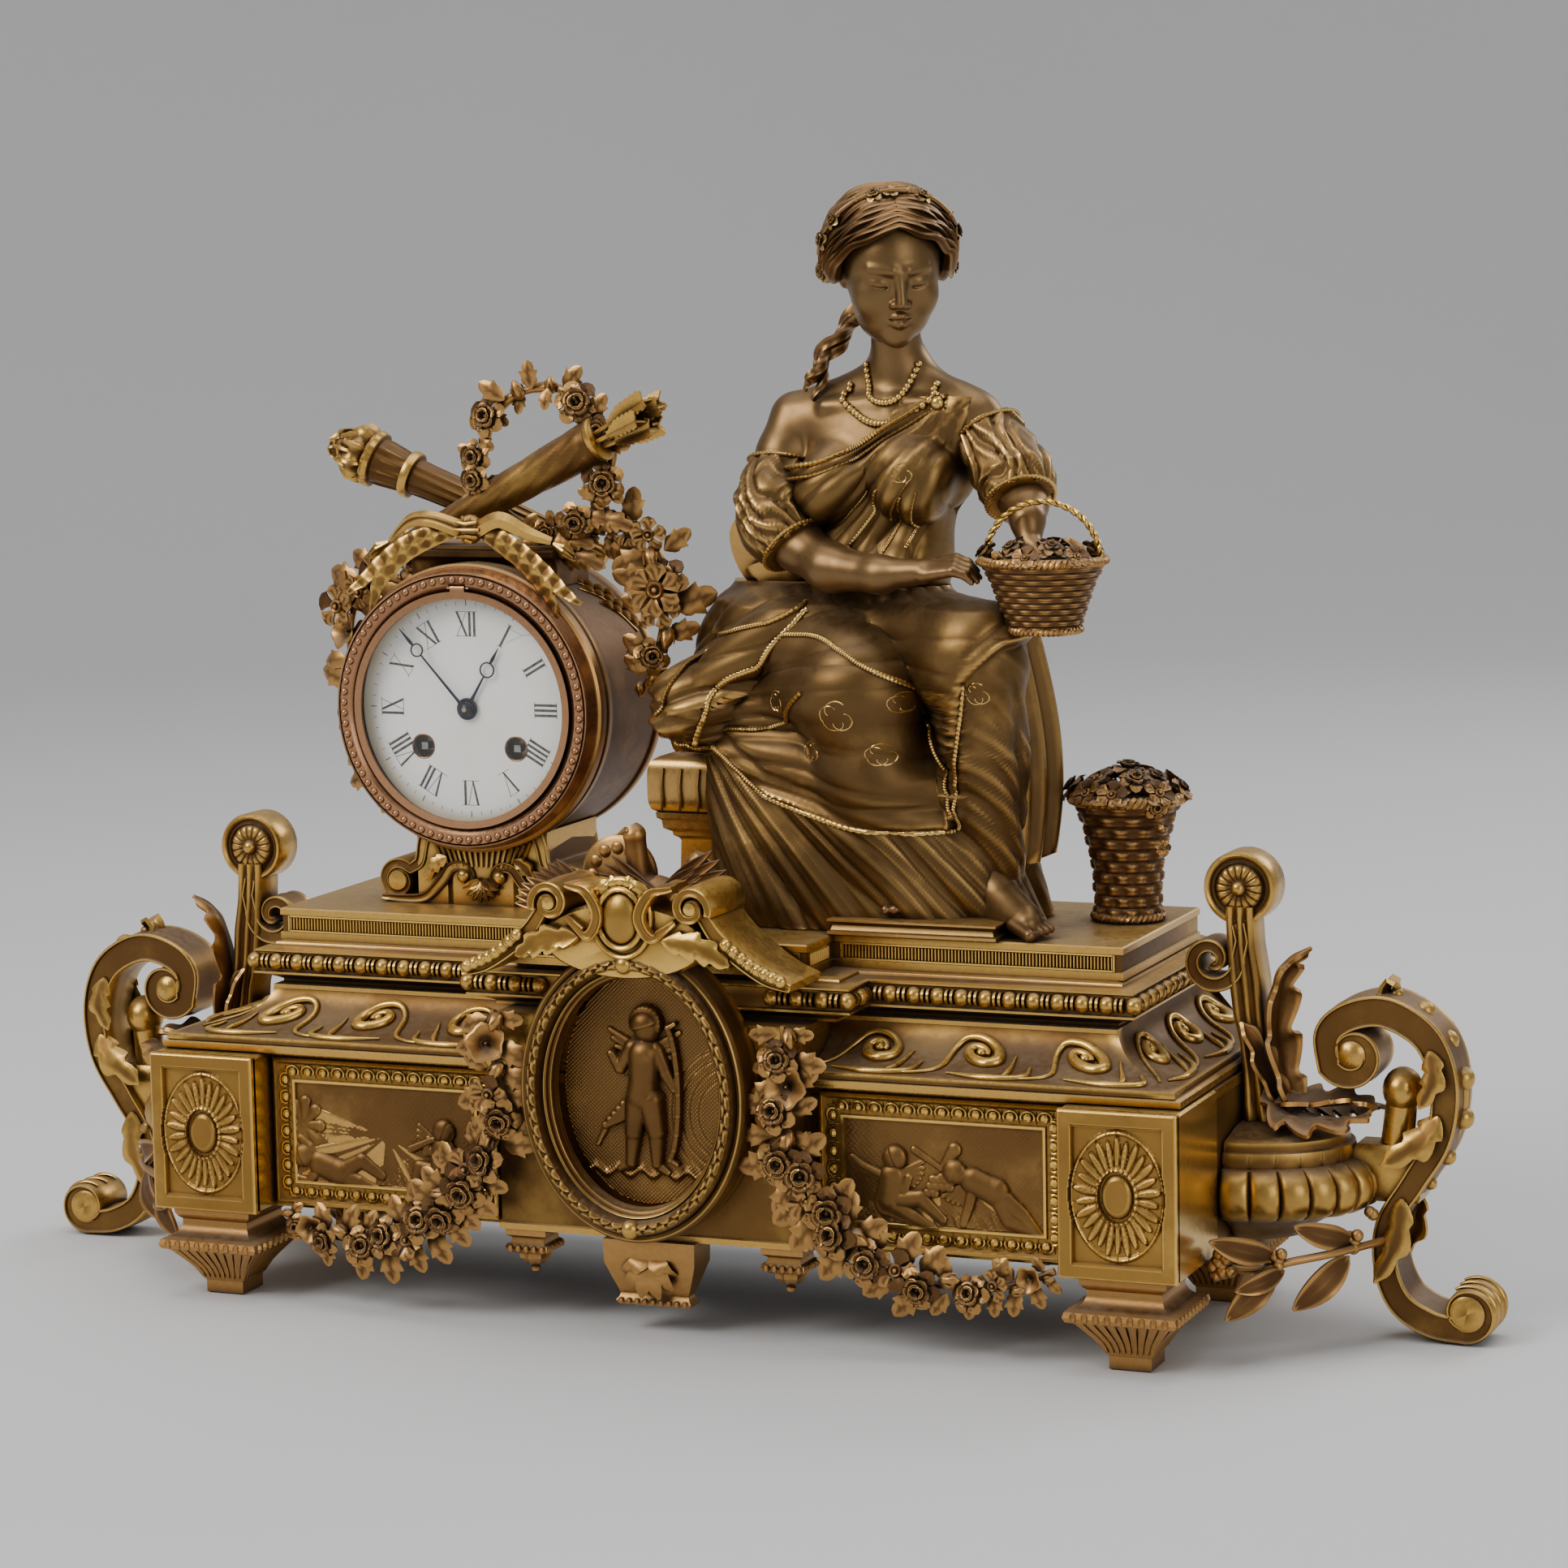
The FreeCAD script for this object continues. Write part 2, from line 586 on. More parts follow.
def make_garlands():
    """Flower swags from the cornice bay down and out along the chest's lower edge."""
    y = float(bay_face)
    z = float(chest_bottom)
    x = float(m.bay_half)
    end = float(block_inner)
    path = [(x - 4, y - 8.8, z + 82, 7), (x - 4, y - 9, z + 60, 9), (x - 6, y - 10, z + 38, 10),
            (x + 6, y - 9, z + 22, 10), (x + 18, y - 7, z + 8, 10), (x + 37, y - 4, z - 5, 9),
            (x + 60, y - 2, z - 8, 8), (x + 78, y + 1, z - 6, 6), (end - 3, y + 4, z - 2, 4.6)]
    right = made_shape("swag_right", strand(path))
    frame = oval("swag_clearance", 0, medallion_z, m.medallion_wide / 2 + m.fit_gap,
                 m.medallion_high / 2 + m.fit_gap, frame_front - 9, bay_face)
    wall = fuse("swag_wall",
                wide_box("swag_wall_bay", m.bay_half, bay_face, 0, 0, cove_top + 20),
                wide_box("swag_wall_mid", block_inner, panel_face - 2.5, 0, chest_bottom, cove_top + 20))
    trimmed = cut("garland_right", right, fuse("swag_tools", frame, wall))
    node("bay_garlands", fuse("bay_garlands", trimmed, mirrored("garland_left", trimmed)))


def make_ends():
    """Half bowl, scroll leg, rosette post, acanthus leaf and laurel spray at each end of the chest."""
    side = float(half_chest)
    reach, half, top = float(m.bowl_reach), float(m.bowl_half), float(m.bowl_top)
    bowl_y = float(m.scroll_front + m.scroll_deep / 2) - 5
    levels = [(top - 41, 0.42), (top - 33, 0.64), (top - 26, 0.93), (top - 18, 1.0), (top - 10, 0.93),
              (top - 9.5, 0.82), (top, 0.78)]
    bowl = made_shape("bowl_right", skin([
        ellipse_ring(side, bowl_y, z, reach * share, half * share, 15, -math.pi / 2, math.pi)
        for z, share in levels]))
    node("side_bowls", fuse("side_bowls", bowl, mirrored("bowl_left", bowl)))

    y0, y1 = m.scroll_front, m.scroll_front + m.scroll_deep
    top_x, top_z = half_chest + 39, m.bowl_top + 25
    foot_x, foot_z = half_chest + 80, m.foot_volute
    band = float(m.scroll_band)
    tx, tz, fx = float(top_x), float(top_z), float(foot_x)
    middle = [(tx - 8, tz - 5), (tx - 8.5, tz + 7), (tx, tz + 14), (tx + 13, tz + 15.5), (tx + 27, tz + 7),
              (tx + 34, tz - 9), (tx + 32, tz - 28), (tx + 22, tz - 44), (tx + 13, tz - 59),
              (tx + 12, tz - 74), (tx + 17, tz - 87), (fx - 13, band / 2 + 1.5), (fx, band / 2)]
    strap = made_shape("scroll_strap", ribbon_band(middle, band / 2, float(y0), float(y1)))
    lug = box("scroll_lug", top_x, top_x + 22, y0 + 4, y1 - 4, m.bowl_top - 26, m.bowl_top - 14)
    leg = fuse("scroll_parts", strap, rod("scroll_top", m.top_volute, top_x, y0, y1, top_z),
               rod("scroll_foot", m.foot_volute, foot_x, y0, y1, foot_z), lug)
    right_leg = node("scroll_leg_right", cut("scroll_leg_right", leg, bowl))
    node("scroll_leg_left", mirrored("scroll_leg_left", right_leg))

    post_y0 = m.scroll_front - 3
    post_y1 = post_y0 + m.post_deep
    gap = m.fit_gap
    stem = padded("post_stem", [(half_chest, m.bowl_top), (half_chest + 18, m.bowl_top),
                                (half_chest + 9, cap_top + 5), (half_chest + 7, cap_top + 28),
                                (half_chest + 5, m.post_height), (half_chest - 8, m.post_height),
                                (half_chest - 7, cap_top + 28), (half_chest, cap_top + 5)],
                  post_y0, post_y1)
    disc = rod("post_disc_right", m.post_disc, half_chest - 1, post_y0, post_y1, m.post_height)
    curl = rod("post_curl", 7.5, half_chest - 10 + gap, post_y0, post_y1, cove_top + 18.5)
    wall = wide_box("post_clearance", half_chest - 22 + 3 * gap, 0, 60, cap_top, deck)
    post = cut("post_right", fuse("post_parts", stem, disc, curl), wall)

    leaf_y = float(post_y0) + float(m.post_deep) / 2
    leaf_levels = [(top, side + 19, side + 52, leaf_y - 18, leaf_y + 20),
                   (top + 6, side + 18, side + 46, leaf_y - 14, leaf_y + 15),
                   (top + 11, side + 15.5, side + 26, leaf_y - 9, leaf_y + 9),
                   (top + 26, side + 11.5, side + 22, leaf_y - 9, leaf_y + 8),
                   (top + 44, side + 12, side + 20, leaf_y - 7, leaf_y + 5),
                   (top + 56, side + 15, side + 22, leaf_y - 7, leaf_y + 1),
                   (top + 62.5, side + 21, side + 25, leaf_y - 8, leaf_y - 4)]
    leaf = cut("leaf_right", made_shape("leaf_blank", stack(leaf_levels, 12)), post, right_leg)
    node("scroll_posts", fuse("scroll_posts", post, mirrored("post_left", post)))
    node("acanthus_leaves", fuse("acanthus_leaves", leaf, mirrored("leaf_left", leaf)))

    z = float(chest_bottom)
    spray_path = [(side, -28, z - 1, 5), (side + 14, -24, z - 3, 7), (side + 27, -17, z, 7),
                  (side + 39, -7, z + 2, 6), (tx + 13, float(y0), tz - 65, 4)]
    spray = cut("spray_right", made_shape("spray_blank", strand(spray_path)), right_leg,
                NODES["end_blocks"], NODES["side_bowls"])
    node("laurel_sprays", fuse("laurel_sprays", spray, mirrored("spray_left", spray)))


# ------------------------------------------------------------------------------------------ the drum clock
def make_drum():
    """Drum with its stand, cap, bezel and back cover hinge; returns the space that the drum fills."""
    outer, inner = m.drum_radius, m.drum_radius - m.drum_wall
    y0, y1 = -m.drum_front, drum_back
    ledge = inner - 4
    section = [(inner, y0), (outer, y0), (outer, y1), (inner, y1), (inner, inner_front + 3),
               (ledge, inner_front + 3), (ledge, inner_front), (inner, inner_front)]
    barrel = turned("drum_shell", section, drum_x, 0, drum_z, along_y=True)
    slot_y0, slot_y1 = plates_back + 0.6, plates_back + 6.6
    slot = wide_box("drum_slot", m.slot_half, slot_y0, slot_y1, deck, drum_z - 20, x=drum_x)
    hinge_x, hinge_y = drum_x + outer - 1, drum_back + 2
    lugs = []
    for side in (-1, 1):
        lugs.append(box(f"hinge_lug_{side + 1}", hinge_x - 2, hinge_x + 1.6, drum_back - 2, drum_back + 3.6,
                        drum_z + side * 8 - 3, drum_z + side * 8 + 3))
    pin = stud("hinge_pin", 0.7, hinge_x, hinge_y, drum_z - 10, drum_z + 10)
    node("drum_case", cut("drum_case", fuse("drum_body", barrel, pin, *lugs), slot))

    space = rod("drum_space", outer + m.run_gap, drum_x, y0 - 9, y1, drum_z)
    foot = frustum("stand_foot", (drum_x - 40, drum_x + 40, 2, 50), (drum_x - 29, drum_x + 29, 4, 48),
                   deck, deck + 19)
    neck = wide_box("stand_neck", 29, 4, 48, deck + 19, deck + 46, x=drum_x)
    node("clock_stand", cut("clock_stand", fuse("stand_solid", foot, neck), space, slot))
    cap = wide_box("cap_block", 30, 8, 44, drum_z + 40, drum_z + outer + 5.3, x=drum_x)
    cap_node = node("drum_cap", cut("drum_cap", cap, space))

    face = y0 - m.bezel_deep
    ring = turned("bezel_ring", [(m.bezel_inner, y0), (m.bezel_inner, face + 1.6), (m.bezel_inner + 2, face),
                                 (m.bezel_outer - 1, face), (outer - 1.5, y0)],
                  drum_x, 0, drum_z, along_y=True)
    knuckle_z = drum_z + m.bezel_inner + 0.9
    notch = box("bezel_notch", drum_x - 3.4, drum_x + 3.4, face - 2, face + 2.6, drum_z + m.bezel_inner - 2,
                knuckle_z + 1.5)
    pin = crossbar("bezel_pin", 0.45, drum_x - 4.4, drum_x + 4.4, face + 0.9, knuckle_z)
    node("bead_bezel", fuse("bead_bezel", cut("bezel_notched", ring, notch), pin))

    glazed_outer = m.bezel_inner - m.fit_gap
    seat = glazed_outer - 1.0
    glazed = turned("glazed_ring", [(m.sight_radius, face + 1.2), (m.sight_radius, face),
                                    (glazed_outer, face), (glazed_outer, face + 4.2),
                                    (seat, face + 4.2), (seat, face + 1.2)],
                    drum_x, 0, drum_z, along_y=True)
    knuckle = crossbar("bezel_knuckle", 1.15, drum_x - 2.9, drum_x + 2.9, face + 0.9, knuckle_z)
    web = box("bezel_web", drum_x - 2.9, drum_x + 2.9, face, face + 1.8, drum_z + glazed_outer - 0.6,
              knuckle_z)
    bore = crossbar("bezel_bore", 0.5, drum_x - 4, drum_x + 4, face + 0.9, knuckle_z)
    node("glass_bezel", cut("glass_bezel", fuse("glazed_parts", glazed, knuckle, web), bore))
    node("bezel_glass", rod("bezel_glass", seat - m.run_gap, drum_x, face + 1.2, face + 1.2 + m.glass_thick,
                            drum_z))

    cover = rod("cover_disc", inner + 1.5, drum_x, drum_back + 0.2, drum_back + 0.2 + m.cover_thick, drum_z)
    knuckle = stud("cover_knuckle", 1.6, hinge_x, hinge_y, drum_z - 4.7, drum_z + 4.7)
    web = box("cover_web", drum_x + inner, hinge_x, drum_back + 0.5, drum_back + 1.8, drum_z - 4.7,
              drum_z + 4.7)
    bore = stud("cover_bore", 0.75, hinge_x, hinge_y, drum_z - 6, drum_z + 6)
    knob = rod("cover_knob", 2.4, drum_x - inner + 6, drum_back, drum_back + 6, drum_z)
    node("back_cover", cut("back_cover", fuse("cover_parts", cover, knuckle, web, knob), bore))
    return space, cap_node


def make_trophy(space, cap):
    """Torch and quiver crossed over the cap, the rose wreath on them, ribbons and hanging garlands."""
    x, z = float(drum_x), float(drum_z)
    torch = strand([(x - 64, 22, z + 96.5, 3), (x - 58, 22, z + 93, 8), (x - 47, 23, z + 88, 9),
                    (x - 41, 24, z + 85, 10), (x - 33, 25, z + 81, 9), (x - 29, 25, z + 79, 6),
                    (x + 12, 30, z + 64, 6), (x + 42, 32, z + 53, 3.5)])
    quiver = strand([(x + 73, 10, z + 114, 3), (x + 66, 10, z + 109, 10), (x + 48, 11, z + 98, 9),
                     (x + 36, 12, z + 91, 7), (x - 24, 18, z + 61, 6), (x - 42, 18, z + 54, 3)])
    crossed = cut("torch_and_quiver",
                  fuse("trophy_parts", made_shape("torch", torch), made_shape("quiver", quiver)), cap, space)
    node("torch_and_quiver", crossed)
    wreath = doc.addObject("Part::Torus", "wreath_ring")
    turn_to_y(wreath)
    wreath.Angle1, wreath.Angle2, wreath.Angle3 = -180, 180, 360
    bind(wreath, Radius1=27, Radius2=6.5)
    place(wreath, drum_x + 24, 21, drum_z + 91)
    wreath = node("rose_wreath", cut("rose_wreath", wreath, crossed, cap))
    left = strand([(x - 6, 4, z + 65, 4), (x - 22, 1, z + 60, 5), (x - 33, -3, z + 52, 5),
                   (x - 45, -4, z + 37, 3)])
    right = strand([(x + 4, 4, z + 65, 4), (x + 22, 1, z + 59, 5), (x + 34, -3, z + 49, 5),
                    (x + 43, -4, z + 37, 3)])
    knot = egg("ribbon_knot", drum_x - 1, 4, drum_z + 65, 9, 5, 6)
    node("ribbon_bow", cut("ribbon_bow", fuse("ribbon_parts", made_shape("ribbon_left", left),
                                              made_shape("ribbon_right", right), knot),
                           space, cap, crossed, wreath))
    falls = {"left": [(x - 27, 26, z + 53, 5), (x - 45, 24, z + 50, 7), (x - 59, 22, z + 36, 8),
                      (x - 63, 22, z + 12, 8), (x - 59, 22, z - 16, 7), (x - 50, 22, z - 44, 5)],
             "right": [(x + 28, 26, z + 56, 5), (x + 50, 22, z + 66, 6), (x + 70, 20, z + 60, 9),
                       (x + 72, 20, z + 40, 9), (x + 68, 20, z + 18, 7), (x + 60, 22, z + 6, 5)]}
    made = [cut(f"fall_{side}", made_shape(f"fall_{side}_blank", strand(path)), space, cap, crossed, wreath)
            for side, path in falls.items()]
    node("drum_garlands", fuse("drum_garlands", *made))


# -------------------------------------------------------------------------------------------- the movement
def gear(teeth, module, x, z, y0, y1, lean):
    """A toothed disc whose first tooth points at the angle lean, with short teeth that run free."""
    pitch = 2 * math.pi / teeth
    tip, root = module * (teeth / 2 + 0.55), module * (teeth / 2 - 0.95)
    corners = []
    for i in range(teeth):
        middle = lean + pitch * i
        for radius, turn in ((root, -0.24), (tip, -0.11), (tip, 0.11), (root, 0.24)):
            angle = middle + pitch * turn
            corners.append(Vector(x + radius * math.cos(angle), y0, z + radius * math.sin(angle)))
    return Part.Face(Part.makePolygon(corners + corners[:1])).extrude(Vector(0, y1 - y0, 0))


def spindle(radius, x, z, y0, y1):
    """A plain round length of arbor."""
    return Part.makeCylinder(radius, y1 - y0, Vector(x, y0, z), Vector(0, 1, 0))


def meshed(here, there, teeth, gap):
    """Angle of a first tooth, or of a gap, that faces from one axis to another."""
    angle = math.atan2(there[1] - here[1], there[0] - here[0])
    return angle + (math.pi / teeth if gap else 0)


# Tooth counts and modules of the going train and the motion work.
GREAT, INTER_PINION, TRAIN_MODULE = 80, 10, 0.45
INTER, CENTRE_PINION, INTER_MODULE = 72, 8, 0.4
CENTRE, THIRD_PINION, CENTRE_MODULE = 90, 8, 0.3
THIRD, ESCAPE_PINION, THIRD_MODULE = 84, 7, 0.25
ESCAPE_TEETH, ESCAPE_RADIUS = 36, 7.0
CANNON, MINUTE, CANNON_MODULE = 12, 36, 0.5
MINUTE_PINION, HOUR, HOUR_MODULE = 10, 40, 0.48


def apart(teeth_a, teeth_b, module):
    """Distance between the axes of two meshed gears."""
    return module * (teeth_a + teeth_b) / 2


def axis_between(a, reach_a, b, reach_b, side):
    """The axis that lies at given distances from two others, left or right of the line between them."""
    dx, dz = b[0] - a[0], b[1] - a[1]
    span = math.hypot(dx, dz)
    along = (span ** 2 + reach_a ** 2 - reach_b ** 2) / (2 * span)
    across = side * math.sqrt(reach_a ** 2 - along ** 2)
    return a[0] + (dx * along - dz * across) / span, a[1] + (dz * along + dx * across) / span


centre_at = (float(drum_x), float(drum_z))
going_at = (centre_at[0] + float(m.winding_across), centre_at[1] - float(m.winding_down))
strike_at = (centre_at[0] - float(m.winding_across), going_at[1])
inter_at = axis_between(going_at, apart(GREAT, INTER_PINION, TRAIN_MODULE), centre_at,
                        apart(INTER, CENTRE_PINION, INTER_MODULE), -1)
third_reach = apart(CENTRE, THIRD_PINION, CENTRE_MODULE)
third_at = (centre_at[0] - third_reach * 0.544, centre_at[1] + third_reach * 0.839)
escape_reach = apart(THIRD, ESCAPE_PINION, THIRD_MODULE)
escape_at = (centre_at[0], third_at[1] + math.sqrt(escape_reach ** 2 - (centre_at[0] - third_at[0]) ** 2))
pallet_at = (centre_at[0], escape_at[1] + ESCAPE_RADIUS * math.sqrt(2))
minute_at = (centre_at[0], centre_at[1] + apart(CANNON, MINUTE, CANNON_MODULE))
strike_reach = apart(GREAT, INTER_PINION, TRAIN_MODULE)
strike_two = (strike_at[0] - strike_reach * 0.35, strike_at[1] + strike_reach * math.sqrt(1 - 0.35 ** 2))
hammer_at = (centre_at[0] + 18.0, centre_at[1] + 22.0)


def make_plates(bridge):
    """Front and back plates with their pivot holes and bridge, pillars and the dial on its feet."""
    run = m.run_gap
    front_r = m.drum_radius - m.drum_wall - m.fit_gap
    holes = {"going": (going_at, m.barrel_arbor_r), "strike": (strike_at, m.barrel_arbor_r),
             "centre": (centre_at, m.arbor_r), "inter": (inter_at, m.arbor_r),
             "third": (third_at, m.pivot_r), "escape": (escape_at, m.pivot_r),
             "second": (strike_two, m.arbor_r)}
    back_only = {"pallet": (pallet_at, m.arbor_r), "hammer": (hammer_at, m.arbor_r)}

    def pivot_holes(which, y0, y1, wanted):
        return [rod(f"{which}_{name}", radius + run, place_at[0], y0, y1, place_at[1])
                for name, (place_at, radius) in wanted.items()]

    plate = rod("front_blank", front_r, drum_x, m.plate_front, inner_front, drum_z)
    stud_m = rod("minute_stud", m.arbor_r, minute_at[0], m.plate_front - 5, m.plate_front + 1, minute_at[1])
    node("front_plate", fuse("front_plate",
                             cut("front_drilled", plate,
                                 *pivot_holes("front", m.plate_front - 1, inner_front + 1, holes)),
                             stud_m))
    plate = rod("back_blank", m.back_plate_r, drum_x, inner_back, plates_back, drum_z)
    drilled = cut("back_drilled", plate,
                  *pivot_holes("back", inner_back - 1, plates_back + 1, {**holes, **back_only}))
    node("back_plate", fuse("back_plate", drilled, bridge))
    pillars = []
    for i, angle in enumerate((38, 90, 142, 270)):
        along, up = math.cos(math.radians(angle)), math.sin(math.radians(angle))
        x, z = drum_x + m.pillar_ring * along, drum_z + m.pillar_ring * up
        pillars.append(rod(f"pillar_{i}", m.pillar_r, x, inner_front, inner_back, z))
    node("plate_pillars", fuse("plate_pillars", *pillars))

    back = m.plate_front - m.dial_gap
    disc = rod("dial_disc", m.dial_radius, drum_x, back - m.dial_thick, back, drum_z)
    openings = [rod("dial_centre", 3.3, drum_x, back - 3, back + 3, drum_z)]
    for side, (x, z) in (("going", going_at), ("strike", strike_at)):
        openings.append(rod(f"dial_{side}", m.winding_hole, x, back - 3, back + 3, z))
    feet = []
    for i, angle in enumerate((45, 165, 285)):
        x = drum_x + 36 * math.cos(math.radians(angle))
        z = drum_z + 36 * math.sin(math.radians(angle))
        feet.append(rod(f"dial_foot_{i}", 1.2, x, back, m.plate_front, z))
    node("dial", fuse("dial", cut("dial_drilled", disc, *openings), *feet))


def make_going_train():
    """Barrel, wheels and arbors from the mainspring to the escape wheel."""
    y = float(inner_front)
    end = float(plates_back) - 0.4
    run = float(m.run_gap)
    arbor, fine = float(m.arbor_r), float(m.pivot_r)
    start = float(m.plate_front) + 0.4
    barrel_r, barrel_long = float(m.barrel_r), float(m.barrel_long)
    arbor_hole = float(m.barrel_arbor_r) + run

    def barrel(at_x, at_z, lean):
        drum = gear(GREAT, TRAIN_MODULE, at_x, at_z, y + 1, y + 3, lean)
        drum = drum.fuse(spindle(barrel_r, at_x, at_z, y + 2.5, y + 3 + barrel_long))
        return drum.cut(spindle(arbor_hole, at_x, at_z, y, y + 5 + barrel_long))

    node("going_barrel", made_shape("going_barrel",
                                    barrel(*going_at, meshed(going_at, inter_at, GREAT, False))))
    inter = gear(INTER_PINION, TRAIN_MODULE, *inter_at, y + 0.6, y + 3.4,
                 meshed(inter_at, going_at, INTER_PINION, True))
    inter = inter.fuse([gear(INTER, INTER_MODULE, *inter_at, y + 15.3, y + 16.5,
                             meshed(inter_at, centre_at, INTER, False)),
                        spindle(arbor, *inter_at, start, end)])
    node("intermediate_wheel", made_shape("intermediate_wheel", inter))

    hand_y = float(m.plate_front - m.dial_gap - m.dial_thick)
    centre = spindle(arbor, *centre_at, hand_y - 4.0, end)
    centre = centre.fuse([gear(CENTRE_PINION, INTER_MODULE, *centre_at, y + 14.8, y + 17.0,
                               meshed(centre_at, inter_at, CENTRE_PINION, True)),
                          gear(CENTRE, CENTRE_MODULE, *centre_at, y + 20.2, y + 21.4,
                               meshed(centre_at, third_at, CENTRE, False)),
                          spindle(1.6, *centre_at, hand_y - 2.5, 2.6),
                          gear(CANNON, CANNON_MODULE, *centre_at, 1.4, 2.8,
                               meshed(centre_at, minute_at, CANNON, True))])
    node("centre_arbor", made_shape("centre_arbor", centre))

    third = gear(THIRD_PINION, CENTRE_MODULE, *third_at, y + 19.8, y + 21.8,
                 meshed(third_at, centre_at, THIRD_PINION, True))
    third = third.fuse([gear(THIRD, THIRD_MODULE, *third_at, y + 17.6, y + 18.6,
                             meshed(third_at, escape_at, THIRD, False)),
                        spindle(fine, *third_at, start, end)])
    node("third_wheel", made_shape("third_wheel", third))

    escape = gear(ESCAPE_PINION, THIRD_MODULE, *escape_at, y + 17.2, y + 19.0,
                  meshed(escape_at, third_at, ESCAPE_PINION, True))
    module = 2 * ESCAPE_RADIUS / (ESCAPE_TEETH + 1.1)
    escape = escape.fuse([gear(ESCAPE_TEETH, module, *escape_at, y + 22.2, y + 23.0, 0),
                          spindle(fine, *escape_at, start, end)])
    node("escape_wheel", made_shape("escape_wheel", escape))

    strike = [barrel(*strike_at, meshed(strike_at, strike_two, GREAT, False))]
    second = gear(INTER_PINION, TRAIN_MODULE, *strike_two, y + 0.6, y + 3.4,
                  meshed(strike_two, strike_at, INTER_PINION, True))
    strike.append(second.fuse([gear(60, INTER_MODULE, *strike_two, y + 15.3, y + 16.5, 0),
                               spindle(arbor, *strike_two, start, end)]))
    node("strike_train", made_shape("strike_train", Part.makeCompound(strike)))


def make_winders():
    """Barrel arbors with the squares that the key turns, just behind the dial's holes."""
    square_y = m.plate_front - m.dial_gap - 0.6
    half = m.winding_square / 2
    for which, (x, z) in (("going", going_at), ("strike", strike_at)):
        arbor = rod(f"{which}_arbor", m.barrel_arbor_r, x, m.plate_front - 1.5, plates_back - 0.4, z)
        square = box(f"{which}_square", x - half, x + half, square_y, m.plate_front, z - half, z + half)
        node(f"{which}_winder", fuse(f"{which}_winder", arbor, square))


def make_motion_work():
    """Minute wheel, hour wheel and the two hands."""
    run = float(m.run_gap)
    wheel = gear(MINUTE, CANNON_MODULE, *minute_at, 1.6, 2.6, meshed(minute_at, centre_at, MINUTE, False))
    wheel = wheel.fuse(gear(MINUTE_PINION, HOUR_MODULE, *minute_at, -0.8, 2.0,
                            meshed(minute_at, centre_at, MINUTE_PINION, True)))
    wheel = wheel.cut(spindle(float(m.arbor_r) + run, *minute_at, -3, 5))
    node("minute_wheel", made_shape("minute_wheel", wheel))
    hand_y = float(m.plate_front - m.dial_gap - m.dial_thick)
    hour = gear(HOUR, HOUR_MODULE, *centre_at, -0.6, 0.4, meshed(centre_at, minute_at, HOUR, False))
    hour = hour.fuse(spindle(2.6, *centre_at, hand_y - 1.6, 0.2))
    hour = hour.cut(spindle(1.6 + run, *centre_at, hand_y - 9, 5))
    node("hour_wheel", made_shape("hour_wheel", hour))

    thick = float(m.hand_thick)
    hands = {"hour_hand": (float(m.hour_length), 17.0, 3.0, 4.4, 2.6 + run, hand_y - 1.6, 30.5),
             "minute_hand": (float(m.minute_length), 29.0, 2.6, 2.9, float(m.arbor_r) + run,
                             hand_y - 3.2, -41.7)}
    for name, (length, eye_at, eye_r, boss_r, bore_r, y0, clock_angle) in hands.items():
        x, z = centre_at

        def bar(r0, r1, h0, h1):
            corners = [Vector(x + h, y0, z + r) for h, r in ((-h0, r0), (h0, r0), (h1, r1), (-h1, r1))]
            return Part.Face(Part.makePolygon(corners + corners[:1])).extrude(Vector(0, thick, 0))

        eye = spindle(eye_r, x, z + eye_at, y0, y0 + thick)
        hole = spindle(eye_r - 0.7, x, z + eye_at, y0 - 1, y0 + thick + 1)
        shape = spindle(boss_r, x, z, y0, y0 + thick).fuse(
            [bar(0, eye_at - eye_r * 0.8, 0.75, 0.5), eye, bar(eye_at + eye_r * 0.8, length, 0.6, 0.15)])
        shape = shape.cut([hole, spindle(bore_r, x, z, y0 - 1, y0 + thick + 1)])
        shape.rotate(Vector(x, y0, z), Vector(0, 1, 0), clock_angle)
        if name == "minute_hand":
            nut = spindle(2.2, x, z, y0 - 0.8, y0).cut(spindle(bore_r, x, z, y0 - 9, y0 + 9))
            shape = shape.fuse(nut)
        node(name, made_shape(name, shape))


